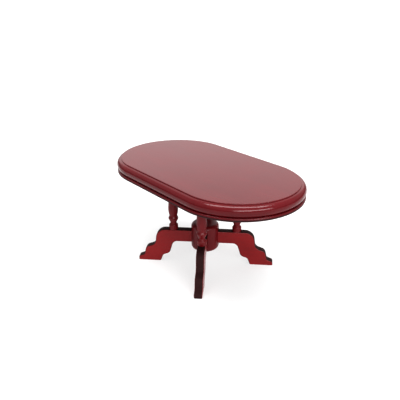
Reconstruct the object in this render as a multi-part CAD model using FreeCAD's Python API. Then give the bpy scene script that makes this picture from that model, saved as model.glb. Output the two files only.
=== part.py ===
import FreeCAD, Part
import math
import os

from FreeCAD import Vector

# Dining table for a 1:12 dolls house: a round-ended top on a hub with four
# fret-sawn legs and four turned balusters. All sizes are in millimetres.
# X runs along the table, Y across it, Z up from the floor at the centre.

# Overall
table_height = 64.0
top_length = 132.0
top_width = 74.0

# Top board: a flat raised field inside a bullnose moulding
top_board_thickness = 6.7
field_inset = 3.6
field_step = 0.6
nose_drop = 3.9
quirk_inset = 1.3

# Under board: a thinner rounded moulding glued below the top board
under_board_thickness = 2.1
under_board_inset = 0.1
under_board_edge_round = 0.85

# Hub: the turned drum in the middle that holds the four legs
hub_diameter = 17.2
hub_height = 16.9
hub_edge_round = 2.2
hub_drop_below_legs = 3.9
mortise_depth = 3.5

# Legs: sawn from one board, each with an arm, a shoulder and a foot
leg_thickness = 4.8
leg_arris_round = 0.7
leg_angle = 45.0
arm_top = 22.1
arm_depth = 8.0
arm_reach = 30.3
arm_end_round = 6.0
riser_lean = 1.3
arch_reach = 20.0
arch_round = 3.4
heel_reach = 22.6
heel_height = 5.5
heel_round = 3.0
pad_reach = 26.8
pad_height = 4.1
pad_start = 28.4
pad_round = 2.2
shoulder_reach = 37.7
shoulder_height = 9.3
shoulder_slope = 2.2
shoulder_round = 3.2
shoulder_hollow_round = 3.6
toe_reach = 42.7
toe_height = 2.3
toe_slope = 1.5
toe_round = 1.2
toe_hollow_round = 1.5

# Balusters: turned posts between the legs and the under board
baluster_centre = 19.8
tenon_diameter = 2.4
lower_tenon_length = 3.0
upper_tenon_length = 1.6
plinth_radius = 2.8
plinth_height = 2.9
plinth_round = 0.5
waist_radius = 1.75
waist_rise = 1.4
waist_round = 0.6
bead_radius = 3.2
bead_rise = 3.1
bead_round = 1.0
neck_radius = 2.4
neck_rise = 1.7
neck_round = 1.2
belly_radius = 3.2
belly_rise = 3.6
belly_round = 12.0

# Fits
glue_gap = 0.05
tenon_end_gap = 0.3

deck_height = table_height - top_board_thickness
underside_height = deck_height - under_board_thickness
arm_bottom = arm_top - arm_depth
hub_bottom = arm_bottom - hub_drop_below_legs
mortise_floor = hub_diameter / 2 - mortise_depth
leg_headings = {
    "front_right": -leg_angle,
    "back_right": leg_angle,
    "back_left": 180 - leg_angle,
    "front_left": 180 + leg_angle,
}


def rounded_wire(corners):
    """Closed XZ outline of (x, z, radius) corners, each rounded by its radius."""
    points = [Vector(x, 0, z) for x, z, radius in corners]
    starts, ends, arcs = [], [], []
    for i, (x, z, radius) in enumerate(corners):
        here = points[i]
        back = (points[i - 1] - here).normalize()
        ahead = (points[(i + 1) % len(points)] - here).normalize()
        if radius == 0:
            starts.append(here)
            ends.append(here)
            arcs.append(None)
            continue
        half_angle = back.getAngle(ahead) / 2
        setback = radius / math.tan(half_angle)
        to_centre = (back + ahead).normalize()
        nearest = radius / math.sin(half_angle) - radius
        starts.append(here + back * setback)
        ends.append(here + ahead * setback)
        arcs.append(here + to_centre * nearest)
    edges = []
    for i in range(len(points)):
        if arcs[i] is not None:
            edges.append(Part.Arc(starts[i], arcs[i], ends[i]).toShape())
        after = starts[(i + 1) % len(points)]
        if ends[i].distanceToPoint(after) > 1e-6:
            edges.append(Part.makeLine(ends[i], after))
    return Part.Wire(edges)


def round_ended(half_section, length, width):
    """Board with half-round ends whose edge follows half_section.

    half_section gives the edges of the section's outer side, top to bottom,
    as XZ curves with X measured out from the board's middle.
    """
    first = half_section[0].firstVertex().Point
    last = half_section[-1].lastVertex().Point
    top_middle = Vector(0, 0, first.z)
    low_middle = Vector(0, 0, last.z)
    closing = [Part.makeLine(last, low_middle),
               Part.makeLine(low_middle, top_middle),
               Part.makeLine(top_middle, first)]
    half_face = Part.Face(Part.Wire(half_section + closing))
    half_run = (length - width) / 2
    axis = Vector(0, 0, 1)
    straight = half_face.copy()
    straight.rotate(Vector(0, 0, 0), axis, 90)
    side = straight.extrude(Vector(length - width, 0, 0))
    side.translate(Vector(-half_run, 0, 0))
    other_side = side.mirror(Vector(0, 0, 0), Vector(0, 1, 0))
    end = half_face.copy()
    end.rotate(Vector(0, 0, 0), axis, -90)
    end = end.revolve(Vector(0, 0, 0), axis, 180)
    right_end = end.translated(Vector(half_run, 0, 0))
    left_end = right_end.mirror(Vector(0, 0, 0), Vector(1, 0, 0))
    return side.multiFuse([other_side, right_end, left_end]).removeSplitter()


def nose_arc(edge, nose_level, inset, level):
    """Arc, upright at the widest point, that ends at an inset and a level."""
    rise = level - nose_level
    radius = (inset ** 2 + rise ** 2) / (2 * inset)
    half_turn = math.asin(rise / radius) / 2
    middle = Vector(edge - radius + radius * math.cos(half_turn), 0,
                    nose_level + radius * math.sin(half_turn))
    return [Vector(edge, 0, nose_level), middle, Vector(edge - inset, 0, level)]


def top_board():
    """Raised field, a small step down, then the bullnose."""
    edge = top_width / 2
    field_edge = edge - field_inset
    step_level = table_height - field_step
    nose_level = table_height - nose_drop
    upper = nose_arc(edge, nose_level, field_inset, step_level)
    lower = nose_arc(edge, nose_level, quirk_inset, deck_height)
    side = [
        Part.makeLine(Vector(field_edge, 0, table_height), Vector(field_edge, 0, step_level)),
        Part.Arc(*upper[::-1]).toShape(),
        Part.Arc(*lower).toShape(),
    ]
    return round_ended(side, top_length, top_width)


def under_board():
    """Plain board with a rounded edge and a socket for each baluster."""
    edge = top_width / 2 - under_board_inset
    soft = under_board_edge_round
    bend = soft * (1 - math.sqrt(0.5))
    side = [
        Part.Arc(Vector(edge - soft, 0, deck_height), Vector(edge - bend, 0, deck_height - bend),
                 Vector(edge, 0, deck_height - soft)).toShape(),
        Part.makeLine(Vector(edge, 0, deck_height - soft),
                      Vector(edge, 0, underside_height + soft)),
        Part.Arc(Vector(edge, 0, underside_height + soft),
                 Vector(edge - bend, 0, underside_height + bend),
                 Vector(edge - soft, 0, underside_height)).toShape(),
    ]
    length = top_length - 2 * under_board_inset
    width = top_width - 2 * under_board_inset
    board = round_ended(side, length, width)
    for heading in leg_headings.values():
        socket = Part.makeCylinder(tenon_diameter / 2 + glue_gap,
                                   upper_tenon_length + tenon_end_gap,
                                   Vector(baluster_centre, 0, underside_height))
        board = board.cut(turn_to(socket, heading))
    return board


def turn_to(shape, heading):
    """Copy of a shape turned about the table's centre, from +X to a heading."""
    copy = shape.copy()
    copy.rotate(Vector(0, 0, 0), Vector(0, 0, 1), heading)
    return copy


def hub():
    """Drum with softened rims and a mortise for the arm of each leg."""
    drum = Part.makeCylinder(hub_diameter / 2, hub_height, Vector(0, 0, hub_bottom))
    rims = [edge for edge in drum.Edges if isinstance(edge.Curve, Part.Circle)]
    drum = drum.makeFillet(hub_edge_round, rims)
    for heading in leg_headings.values():
        mortise = Part.makeBox(hub_diameter, leg_thickness + 2 * glue_gap,
                               arm_depth + 2 * glue_gap,
                               Vector(mortise_floor, -leg_thickness / 2 - glue_gap,
                                      arm_bottom - glue_gap))
        drum = drum.cut(turn_to(mortise, heading))
    return drum


def leg():
    """Leg along +X: the arm enters the hub, the pad stands on the floor."""
    outline = rounded_wire([
        (mortise_floor, arm_top, 0),
        (arm_reach, arm_top, arm_end_round),
        (arm_reach + riser_lean, shoulder_height + shoulder_slope, shoulder_hollow_round),
        (shoulder_reach, shoulder_height, shoulder_round),
        (shoulder_reach + riser_lean, toe_height + toe_slope, toe_hollow_round),
        (toe_reach, toe_height, toe_round),
        (toe_reach, 0, 0),
        (pad_start, 0, 0),
        (pad_reach, pad_height, pad_round),
        (heel_reach, heel_height, heel_round),
        (arch_reach, arm_bottom, arch_round),
        (mortise_floor, arm_bottom, 0),
    ])
    blank = Part.Face(outline).extrude(Vector(0, leg_thickness, 0))
    blank.translate(Vector(0, -leg_thickness / 2, 0))
    arrises = []
    for edge in blank.Edges:
        middle = edge.CenterOfMass
        on_face = abs(abs(middle.y) - leg_thickness / 2) < 1e-6
        if on_face and middle.z > 1e-6 and middle.x > mortise_floor + 1e-6:
            arrises.append(edge)
    blank = blank.makeFillet(leg_arris_round, arrises)
    socket = Part.makeCylinder(tenon_diameter / 2 + glue_gap,
                               lower_tenon_length + tenon_end_gap,
                               Vector(baluster_centre, 0, arm_top), Vector(0, 0, -1))
    return blank.cut(socket)


def baluster():
    """Post with a plinth, waist and bead at each end of a long tapering vase."""
    tenon = tenon_diameter / 2
    end_profile = [
        (plinth_radius, 0, 0),
        (plinth_radius, plinth_height, plinth_round),
        (waist_radius, plinth_height + waist_rise, waist_round),
        (bead_radius, plinth_height + waist_rise + bead_rise, bead_round),
        (neck_radius, plinth_height + waist_rise + bead_rise + neck_rise, neck_round),
    ]
    lower = [(r, arm_top + up, bend) for r, up, bend in end_profile]
    upper = [(r, underside_height - up, bend) for r, up, bend in end_profile]
    belly = (belly_radius, lower[-1][1] + belly_rise, belly_round)
    bottom = arm_top - lower_tenon_length
    top = underside_height + upper_tenon_length
    outline = rounded_wire(
        [(0, bottom, 0), (tenon, bottom, 0), (tenon, arm_top, 0)]
        + lower + [belly] + upper[::-1]
        + [(tenon, underside_height, 0), (tenon, top, 0), (0, top, 0)])
    post = Part.Face(outline).revolve(Vector(0, 0, 0), Vector(0, 0, 1), 360)
    return post.translated(Vector(baluster_centre, 0, 0))


pieces = {"top_board": top_board(), "under_board": under_board(), "hub": hub()}
one_leg = leg()
one_baluster = baluster()
for corner, heading in leg_headings.items():
    pieces["leg_" + corner] = turn_to(one_leg, heading)
    pieces["baluster_" + corner] = turn_to(one_baluster, heading)

os.makedirs("parts", exist_ok=True)
for name, shape in pieces.items():
    shape.exportStep("parts/" + name + ".step")
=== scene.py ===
import math

import bmesh
import bpy
from mathutils import Matrix, Vector


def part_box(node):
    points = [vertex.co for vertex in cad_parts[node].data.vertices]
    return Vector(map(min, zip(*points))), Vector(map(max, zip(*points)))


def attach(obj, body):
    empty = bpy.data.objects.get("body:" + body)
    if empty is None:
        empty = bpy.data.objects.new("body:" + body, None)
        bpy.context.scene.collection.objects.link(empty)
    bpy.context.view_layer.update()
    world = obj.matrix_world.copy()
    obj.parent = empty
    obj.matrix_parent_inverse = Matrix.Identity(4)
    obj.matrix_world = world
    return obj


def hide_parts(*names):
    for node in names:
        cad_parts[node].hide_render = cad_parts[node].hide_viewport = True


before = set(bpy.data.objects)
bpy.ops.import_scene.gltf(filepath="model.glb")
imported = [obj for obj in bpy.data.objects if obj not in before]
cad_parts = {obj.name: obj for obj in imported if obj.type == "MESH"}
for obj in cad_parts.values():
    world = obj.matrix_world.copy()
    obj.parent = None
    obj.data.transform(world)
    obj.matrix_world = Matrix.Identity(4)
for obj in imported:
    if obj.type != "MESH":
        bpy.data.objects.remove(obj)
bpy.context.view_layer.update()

# ---- Top board ----
# The table's top: one slab of close-grained wood with half-round ends. A router leaves a
# flat raised field inside a bullnose all round, undercut where it meets the under board.
# It is stained mahogany red, lacquered, and glued down.

mm = 0.001
hair = 0.01 * mm     # less than this apart counts as touching
border = 0.6 * mm    # a strip left round each flat face, which keeps its shading flat


def begin(name, add, **sizes):
    """Starts a piece from a primitive at its size and place, ready to be shaped."""
    bpy.ops.object.select_all(action="DESELECT")
    add(**sizes)
    bpy.context.object.name = name
    bpy.ops.object.transform_apply(location=True, rotation=True, scale=True)
    bpy.ops.object.mode_set(mode="EDIT")


def middle(item):
    """The middle of an edge or a face."""
    return sum((corner.co for corner in item.verts), Vector()) / len(item.verts)


def choose(kind, wanted):
    """Selects the corners, edges or faces that are wanted, and nothing else."""
    bpy.ops.mesh.select_mode(type=kind)
    bpy.ops.mesh.select_all(action="DESELECT")
    mesh = bmesh.from_edit_mesh(bpy.context.object.data)
    for item in {"VERT": mesh.verts, "EDGE": mesh.edges, "FACE": mesh.faces}[kind]:
        if wanted(item):
            item.select_set(True)
    bmesh.update_edit_mesh(bpy.context.object.data)


def cut_round_ended(name, length, width, level, thickness):
    """Cuts a slab with half-round ends: a disc is parted in two and filled in between."""
    half_run = (length - width) / 2
    begin(name, bpy.ops.mesh.primitive_circle_add, vertices=160, radius=width / 2,
          fill_type="NGON", location=(0, 0, level))
    bpy.ops.mesh.bisect(plane_co=(0, 0, 0), plane_no=(1, 0, 0), threshold=hair)
    choose("FACE", lambda face: middle(face).x > 0)
    bpy.ops.mesh.split()
    bpy.ops.transform.translate(value=(half_run, 0, 0))
    choose("FACE", lambda face: middle(face).x < 0)
    bpy.ops.transform.translate(value=(-half_run, 0, 0))
    choose("EDGE", lambda edge: edge.calc_length() > 0.9 * width)    # the two cut edges
    bpy.ops.mesh.bridge_edge_loops()
    bpy.ops.mesh.select_all(action="SELECT")
    bpy.ops.mesh.dissolve_faces()
    bpy.ops.mesh.extrude_region_move(TRANSFORM_OT_translate={"value": (0, 0, thickness)})
    bpy.ops.mesh.select_all(action="SELECT")
    bpy.ops.mesh.normals_make_consistent(inside=False)


def rout(depth, rise, cuts):
    """Rounds the edge of the chosen face in short cuts, upright first."""
    radius = (depth ** 2 + rise ** 2) / (2 * depth)
    turn = math.asin(min(1, rise / radius)) / cuts
    for cut in range(cuts):
        inwards = radius * (math.cos(cut * turn) - math.cos((cut + 1) * turn))
        onwards = radius * (math.sin((cut + 1) * turn) - math.sin(cut * turn))
        bpy.ops.mesh.inset(thickness=inwards, depth=onwards)


def sand(smooth_angle=32):
    """Ends the shaping: faces turned outwards, and curves blended."""
    bpy.ops.mesh.select_all(action="SELECT")
    bpy.ops.mesh.normals_make_consistent(inside=False)
    bpy.ops.object.mode_set(mode="OBJECT")
    bpy.ops.object.shade_smooth_by_angle(angle=math.radians(smooth_angle))
    return bpy.context.object


def mark_grain(piece, along):
    """Writes on a piece where each spot lies in its board, first along the grain."""
    grain = piece.data.attributes.new("grain", "FLOAT_VECTOR", "POINT")
    order = {"X": (0, 1, 2), "Z": (2, 0, 1)}[along]
    for corner, mark in zip(piece.data.vertices, grain.data):
        mark.vector = [corner.co[axis] for axis in order]


top_low, top_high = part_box("top_board")
top_length = top_high.x - top_low.x
top_width = top_high.y - top_low.y
nose_level = top_high.z - 4.0 * mm
nose_flat = 0.2 * mm    # the upright strip where the nose is widest
field_inset, field_step, field_arris = 3.6 * mm, 0.6 * mm, 0.2 * mm
quirk_inset = 1.3 * mm

cut_round_ended("top", top_length, top_width, nose_level, nose_flat)
choose("FACE", lambda face: face.normal.z > 0.9)
rout(field_inset, top_high.z - field_step - nose_level - nose_flat, cuts=12)
bpy.ops.mesh.extrude_region_move(
    TRANSFORM_OT_translate={"value": (0, 0, field_step - field_arris)})
rout(field_arris, field_arris, cuts=4)
bpy.ops.mesh.inset(thickness=border)
choose("FACE", lambda face: face.normal.z < -0.9)
rout(quirk_inset, nose_level - top_low.z, cuts=8)
bpy.ops.mesh.inset(thickness=border)
top = sand()
mark_grain(top, "X")


class Reading:
    """What a mixture works out at each spot, such as how dark the grain is there."""

    def __init__(self, mixture, socket):
        self.mixture = mixture
        self.socket = socket

    def work_out(self, operation, *parts):
        return self.mixture.node("Math", {"operation": operation}, dict(enumerate(parts)))

    def __add__(self, other):
        return self.work_out("ADD", self, other)

    def __mul__(self, other):
        return self.work_out("MULTIPLY", self, other)

    def __rsub__(self, other):
        return self.work_out("SUBTRACT", other, self)

    def __abs__(self):
        return self.work_out("ABSOLUTE", self)

    __radd__ = __add__
    __rmul__ = __mul__


class Mixture:
    """A finish for the wood, or the light in the air, mixed node by node."""

    def __init__(self, holder, shader):
        holder.use_nodes = True
        self.holder = holder
        self.tree = holder.node_tree
        self.shader = self.tree.nodes[shader]

    def give(self, socket, value):
        """Gives a socket a reading, by a link, or else a value of its own."""
        if isinstance(value, Reading):
            self.tree.links.new(value.socket, socket)
        else:
            socket.default_value = value

    def finish_with(self, values):
        """Gives the shader's own sockets their values or readings."""
        for socket, value in values.items():
            self.give(self.shader.inputs[socket], value)

    def node(self, kind, settings, values, output=0):
        """Makes a node, sets it up, then gives its sockets their values or links."""
        made = self.tree.nodes.new("ShaderNode" + kind)
        for setting, value in settings.items():
            setattr(made, setting, value)
        for socket, value in values.items():
            self.give(made.inputs[socket], value)
        return Reading(self, made.outputs[output])

    def between(self, share, first, second):
        """A colour between two others, which a Mix node takes at 6 and 7 and gives at 2."""
        return self.node("Mix", {"data_type": "RGBA"}, {0: share, 6: first, 7: second}, 2)

    def ease(self, value, start, end):
        """0 before start, 1 after end, and a soft change from one to the other."""
        return self.node("MapRange", {"interpolation_type": "SMOOTHSTEP"},
                         {"Value": value, "From Min": start, "From Max": end})

    def speckle(self, place, along, across, detail=2.0):
        """Soft random spots, so many to the metre along the grain and across it."""
        scale = (along, across, across)
        spread = self.node("VectorMath", {"operation": "MULTIPLY"}, {0: place, 1: scale})
        return self.node("TexNoise", {}, {"Vector": spread, "Scale": 1.0, "Detail": detail,
                                          "Roughness": 0.55})


def stained_wood(name, dullness, deep, bright, dark=None, way=None, start=None, end=None):
    """Red mahogany stain under semi-gloss lacquer, with a faint grain along the piece.

    Given a dark colour, the wood is dark and matt up to a start and no longer by an end,
    both counted from zero along one way, X, Y or Z, of the grain. On the legs' sawn edges
    that is stain they drink in; on the under board's lower edge it is painted shade.
    """
    wood = Mixture(bpy.data.materials.new(name), "Principled BSDF")
    place = wood.node("Attribute", {"attribute_name": "grain"}, {}, "Vector")
    figure = wood.speckle(place, along=18, across=170, detail=3.0)
    fibres = wood.speckle(place, along=90, across=2400)
    clouds = wood.speckle(place, along=45, across=45)
    ripple = wood.speckle(place, along=400, across=700)
    tone = wood.ease(figure * 0.3 + fibres * 0.2 + clouds * 0.5, start=0.2, end=0.8)
    stain = wood.between(tone, deep, bright)
    roughness = dullness + 0.1 * clouds
    if dark:
        # The dark band: stain on the legs' sawn edges, painted shade on the under board's lower
        # edge and underside.
        spot = wood.node("SeparateXYZ", {}, {0: place}, way)
        outside_dark_band = wood.ease(abs(spot), start, end)
        stain = wood.between(outside_dark_band, dark, stain)
        roughness = roughness + 0.5 * (1 - outside_dark_band)
    orange_peel = wood.node("Bump", {}, {"Strength": 0.1, "Distance": 0.05 * mm,
                                         "Height": ripple})
    wood.finish_with({"Base Color": stain, "Roughness": roughness, "IOR": 1.4,
                      "Normal": orange_peel})
    return wood.holder


top_stain = {"dullness": 0.13, "deep": (0.094, 0.007, 0.010, 1),
             "bright": (0.124, 0.010, 0.014, 1)}
top.data.materials.append(stained_wood("red mahogany lacquer on the top", **top_stain))
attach(top, "root")
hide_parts("top_board")

# ---- Under board ----
# A thinner board of the same outline, its edge rounded above and below like a small
# moulding. It is bored from below for the four balusters. Its lower edge and its underside
# are painted nearly black and matt: painted shade, for the shade that falls under the board.


def cut_away(piece, cutter):
    """Cuts one piece's shape out of another, then throws the cutter away."""
    bpy.context.view_layer.objects.active = piece
    cut = piece.modifiers.new("cut", "BOOLEAN")
    cut.operation = "DIFFERENCE"
    cut.solver = "EXACT"
    cut.object = cutter
    bpy.ops.object.modifier_apply(modifier=cut.name)
    bpy.data.objects.remove(cutter)


def bore(piece, across, mouth, depth):
    """Bores a round socket. The cutter sticks out of the mouth as far as it goes in."""
    bpy.ops.object.select_all(action="DESELECT")
    bpy.ops.mesh.primitive_cylinder_add(vertices=32, radius=across / 2, depth=2 * depth,
                                        location=mouth)
    cut_away(piece, bpy.context.object)


def soften_rims(radius, cuts):
    """Rounds the upper and the lower rim, and leaves a border round each flat face."""
    choose("EDGE", lambda edge: abs(edge.verts[0].co.z - edge.verts[1].co.z) < hair)
    bpy.ops.mesh.bevel(offset=radius, segments=cuts)
    choose("FACE", lambda face: abs(face.normal.z) > 0.999)
    bpy.ops.mesh.inset(thickness=border)


under_low, under_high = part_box("under_board")
post_low, post_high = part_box("baluster_back_right")
post_reach = (post_low.x + post_high.x) / 2 * math.sqrt(2)
headings = {"front_right": -45, "back_right": 45, "back_left": 135, "front_left": 225}
tenon_across = 2.4 * mm
glue_gap, end_gap = 0.05 * mm, 0.3 * mm
socket_across = tenon_across + 2 * glue_gap
edge_round = 0.85 * mm

cut_round_ended("under_board_moulding", under_high.x - under_low.x, under_high.y - under_low.y,
                under_low.z, under_high.z - under_low.z)
soften_rims(edge_round, cuts=7)
under_board = sand()
for heading in headings.values():
    mouth = Matrix.Rotation(math.radians(heading), 3, "Z") @ Vector((post_reach, 0, under_low.z))
    bore(under_board, socket_across, mouth, post_high.z - under_low.z + end_gap)
mark_grain(under_board, "X")
# Painted shade: the lower edge and the underside are painted nearly black and matt, where shade
# falls under the board.
under_board.data.materials.append(stained_wood(
    "red mahogany lacquer on the under board", **top_stain, dark=(0.030, 0.004, 0.005, 1),
    way="Z", start=under_low.z + 1.0 * mm, end=under_low.z + 1.5 * mm))
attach(under_board, "root")
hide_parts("under_board")

# ---- Hub ----
# A turned drum with softened rims, its grain upright. Four mortises let in the arms of
# the legs, which hold it clear of the floor.

hub_low, hub_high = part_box("hub")
hub_across = 17.2 * mm
rim_round = 2.2 * mm
leg_thickness = 4.8 * mm
lower_tenon = 3.0 * mm
arm_bottom, arm_top = 14.1 * mm, post_low.z + lower_tenon
mortise_floor = 5.1 * mm

begin("drum", bpy.ops.mesh.primitive_cylinder_add, vertices=128, radius=hub_across / 2,
      depth=hub_high.z - hub_low.z, location=(0, 0, (hub_low.z + hub_high.z) / 2))
soften_rims(rim_round, cuts=12)
drum = sand()
for heading in headings.values():
    bpy.ops.mesh.primitive_cube_add(size=1)
    cutter = bpy.context.object
    cutter.data.transform(
        Matrix.Rotation(math.radians(heading), 4, "Z")
        @ Matrix.Translation((mortise_floor + hub_across / 2, 0, (arm_bottom + arm_top) / 2))
        @ Matrix.Diagonal((hub_across, leg_thickness + 2 * glue_gap,
                           arm_top - arm_bottom + 2 * glue_gap, 1)))
    cut_away(drum, cutter)
mark_grain(drum, "Z")
turned_finish = stained_wood("red mahogany lacquer on the base", dullness=0.26,
                             deep=(0.100, 0.006, 0.009, 1), bright=(0.160, 0.010, 0.014, 1))
drum.data.materials.append(turned_finish)
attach(drum, "root")
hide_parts("hub")

# ---- Legs ----
# Four legs sawn from one board: an arm into the hub, a rounded shoulder, and a foot that
# steps down to a flat pad. The sawn edges drink in more stain, so they are nearly black,
# and the arrises are rubbed round. A socket in the top of each arm takes a baluster.

# Each corner's reach from the table's middle, its level, and how far it is rounded
leg_outline = [
    (mortise_floor, arm_top, 0),
    (30.3 * mm, arm_top, 6.0 * mm),         # end of the arm
    (31.6 * mm, 11.5 * mm, 3.6 * mm),       # hollow over the shoulder
    (37.7 * mm, 9.3 * mm, 3.2 * mm),        # shoulder
    (39.0 * mm, 3.8 * mm, 1.5 * mm),        # hollow over the toe
    (42.7 * mm, 2.3 * mm, 1.2 * mm),        # toe
    (42.7 * mm, 0, 0),
    (28.4 * mm, 0, 0),
    (26.8 * mm, 4.1 * mm, 2.2 * mm),        # top of the pad
    (22.6 * mm, 5.5 * mm, 3.0 * mm),        # heel
    (20.0 * mm, arm_bottom, 3.4 * mm),      # arch
    (mortise_floor, arm_bottom, 0),
]
arris_round = 0.7 * mm
narrow_border = 0.25 * mm


def setback(before, here, after, radius):
    """How far from a corner a round of this radius starts."""
    turn = (here - before).angle(after - here)
    return radius * math.tan(turn / 2)


def saw(name, outline, thickness):
    """Draws an outline corner by corner, rounds its corners, fills it and thickens it."""
    corners = [Vector((x, -thickness / 2, z)) for x, z, _ in outline]
    begin(name, bpy.ops.mesh.primitive_plane_add, size=2 * mm, location=(mm, mm, 0))
    choose("VERT", lambda corner: corner.co.length > hair)
    bpy.ops.mesh.delete(type="VERT")
    bpy.ops.mesh.select_all(action="SELECT")
    bpy.ops.transform.translate(value=corners[0])
    for here, after in zip(corners, corners[1:]):
        bpy.ops.mesh.extrude_vertices_move(TRANSFORM_OT_translate={"value": after - here})
    bpy.ops.mesh.select_all(action="SELECT")
    bpy.ops.mesh.edge_face_add()
    for i, (_, _, radius) in enumerate(outline):
        if radius:
            before, here, after = corners[i - 1], corners[i], corners[(i + 1) % len(corners)]
            choose("VERT", lambda corner: (corner.co - here).length < hair)
            bpy.ops.mesh.bevel(offset=setback(before, here, after, radius), affect="VERTICES",
                               segments=10)
    bpy.ops.mesh.select_all(action="SELECT")
    bpy.ops.mesh.extrude_region_move(TRANSFORM_OT_translate={"value": (0, thickness, 0)})
    bpy.ops.mesh.select_all(action="SELECT")
    bpy.ops.mesh.normals_make_consistent(inside=False)


def on_arris(edge):
    """True for the edges round a leg's two sides, but not in its mortise or on its sole."""
    a, b = (corner.co for corner in edge.verts)
    spot = middle(edge)
    return abs(a.y - b.y) < hair and spot.x > mortise_floor + hair and spot.z > hair


saw("pattern_leg", leg_outline, leg_thickness)
choose("EDGE", on_arris)
bpy.ops.mesh.bevel(offset=arris_round, segments=5)
choose("FACE", lambda face: abs(face.normal.y) > 0.999)
bpy.ops.mesh.inset(thickness=narrow_border)
pattern_leg = sand()
bore(pattern_leg, socket_across, (post_reach, 0, arm_top), lower_tenon + end_gap)
mark_grain(pattern_leg, "X")
sawn_finish = stained_wood(
    "red mahogany lacquer on the legs", dullness=0.2, deep=(0.165, 0.010, 0.012, 1),
    bright=(0.245, 0.015, 0.017, 1), dark=(0.030, 0.006, 0.006, 1), way="Y",
    start=leg_thickness / 2 - 0.35 * mm, end=leg_thickness / 2 - 0.02 * mm)


def stand_at_corners(pattern, name, node, finish):
    """Sets a copy of the pattern at each corner of the base, then puts the pattern away.

    Each copy comes from another part of the board, so its grain is shifted along and up.
    """
    for corner, heading in headings.items():
        piece = bpy.data.objects.new(name + corner, pattern.data.copy())
        bpy.context.collection.objects.link(piece)
        piece.data.transform(Matrix.Rotation(math.radians(heading), 4, "Z"))
        for mark in piece.data.attributes["grain"].data:
            mark.vector = mark.vector + Vector((heading * mm, 0, heading * mm / 3))
        piece.data.materials.append(finish)
        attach(piece, "root")
        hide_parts(node + corner)
    bpy.data.objects.remove(pattern)


stand_at_corners(pattern_leg, "sawn_leg_", "leg_", sawn_finish)

# ---- Balusters ----
# Four little turned posts, each with a plinth, waist and bead at both ends of a long vase
# that is fullest near its foot. A tenon at each end is glued into the leg and the board.

# Each ring's radius, its height from the end, and how far it is rounded, in millimetres
end_turning = [(2.8, 0, 0), (2.8, 2.9, 0.5), (1.75, 4.3, 0.6), (3.2, 7.4, 1.0), (2.4, 9.1, 1.2)]
lower_end = [(r * mm, arm_top + up * mm, bend * mm) for r, up, bend in end_turning]
upper_end = [(r * mm, under_low.z - up * mm, bend * mm) for r, up, bend in end_turning]
belly = (3.2 * mm, lower_end[-1][1] + 3.6 * mm, 12.0 * mm)
tenon = tenon_across / 2
post_rings = ([(tenon, post_low.z, 0), (tenon, arm_top, 0)] + lower_end + [belly]
              + upper_end[::-1] + [(tenon, under_low.z, 0), (tenon, post_high.z, 0)])

begin("pattern_post", bpy.ops.mesh.primitive_circle_add, vertices=48, radius=tenon,
      fill_type="NGON", location=(0, 0, post_low.z))
for (here, level, _), (after, next_level, _) in zip(post_rings, post_rings[1:]):
    bpy.ops.mesh.extrude_region_move(
        TRANSFORM_OT_translate={"value": (0, 0, next_level - level)})
    bpy.ops.transform.resize(value=(after / here, after / here, 1),
                             center_override=(0, 0, next_level))
for i, (_, level, bend) in enumerate(post_rings):
    if bend:
        before, here, after = (Vector((r, 0, z)) for r, z, _ in post_rings[i - 1:i + 2])
        choose("EDGE", lambda edge: all(abs(corner.co.z - level) < hair for corner in edge.verts))
        bpy.ops.mesh.bevel(offset=setback(before, here, after, bend), segments=6)
pattern_post = sand(smooth_angle=40)
mark_grain(pattern_post, "Z")
pattern_post.data.transform(Matrix.Translation((post_reach, 0, 0)))
stand_at_corners(pattern_post, "turned_post_", "baluster_", turned_finish)

# ---- Studio ----
# A round white sheet, lit a little from behind so that shadows on it stay faint, under
# pale air that dims towards the horizon. Two long strips of light draw the two lines
# along the bullnose, and a wide panel on the far side lights the top.

sheet_drop = 0.02 * mm    # keeps the sheet from sharing the soles' level

begin("floor", bpy.ops.mesh.primitive_circle_add, vertices=128, radius=1.2,
      fill_type="NGON", location=(0, 0, -sheet_drop))
floor = sand()
sheet = Mixture(bpy.data.materials.new("backlit white sheet"), "Principled BSDF")
sheet.finish_with({"Base Color": (0.32, 0.32, 0.32, 1), "Roughness": 0.9,
                   "Specular IOR Level": 0.0, "Emission Color": (1, 1, 1, 1),
                   "Emission Strength": 0.45})
floor.data.materials.append(sheet.holder)

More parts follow.
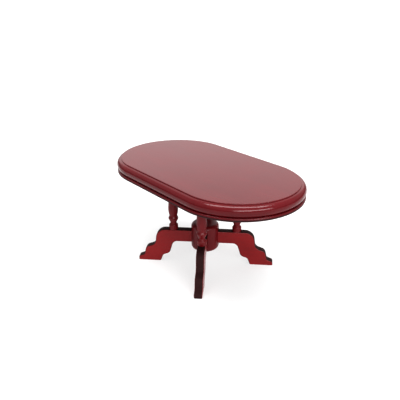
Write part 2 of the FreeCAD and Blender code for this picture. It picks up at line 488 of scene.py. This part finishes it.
air = Mixture(bpy.data.worlds.new("pale air"), "Background")
direction = air.node("TexCoord", {}, {}, "Generated")
height = air.node("SeparateXYZ", {}, {0: direction}, "Z")
glow = air.node("MapRange", {}, {"Value": height, "From Min": 0.05, "From Max": 0.30,
                                 "To Min": 0.12, "To Max": 0.60})
seen_directly = air.node("LightPath", {}, {}, "Is Camera Ray")
strength = air.node("MapRange", {}, {"Value": seen_directly, "To Min": glow, "To Max": 1.2})
air.finish_with({"Color": (1, 1, 1, 1), "Strength": strength})
bpy.context.scene.world = air.holder


def hang_light(name, heading, height, distance, wide, tall, power):
    """Hangs a soft panel of light that faces the table's middle, at angles in degrees."""
    table_middle = Vector((0, 0, 0.05))
    panel = bpy.data.lights.new(name, "AREA")
    panel.shape = "RECTANGLE"
    panel.size, panel.size_y = wide, tall
    panel.energy = power
    lamp = bpy.data.objects.new(name, panel)
    turn, lift = math.radians(heading), math.radians(height)
    away = Vector((math.cos(turn) * math.cos(lift), math.sin(turn) * math.cos(lift),
                   math.sin(lift)))
    lamp.location = table_middle + distance * away
    lamp.rotation_euler = (-away).to_track_quat("-Z", "Y").to_euler()
    lamp.visible_camera = False
    bpy.context.scene.collection.objects.link(lamp)


hang_light("overhead light", heading=-40, height=84, distance=0.85, wide=1.0, tall=0.30,
           power=7.0)
hang_light("front light", heading=-18, height=23, distance=0.95, wide=1.0, tall=0.22, power=5.6)
hang_light("far panel", heading=141, height=33, distance=1.2, wide=1.7, tall=1.5, power=4.1)

lens = bpy.data.cameras.new("camera")
lens.lens = 42.81
lens.clip_start, lens.clip_end = 0.01, 20
camera = bpy.data.objects.new("camera", lens)
right = Vector((0.62826, 0.77796, -0.00836))
up = Vector((-0.30025, 0.25235, 0.91988))
camera.matrix_world = Matrix.Translation((0.205986, -0.168980, 0.155731)) @ Matrix(
    (right, up, right.cross(up))).transposed().to_4x4()
bpy.context.scene.collection.objects.link(camera)
bpy.context.scene.camera = camera
bpy.context.scene.view_settings.view_transform = "Standard"
bpy.context.scene.view_settings.look = "High Contrast"
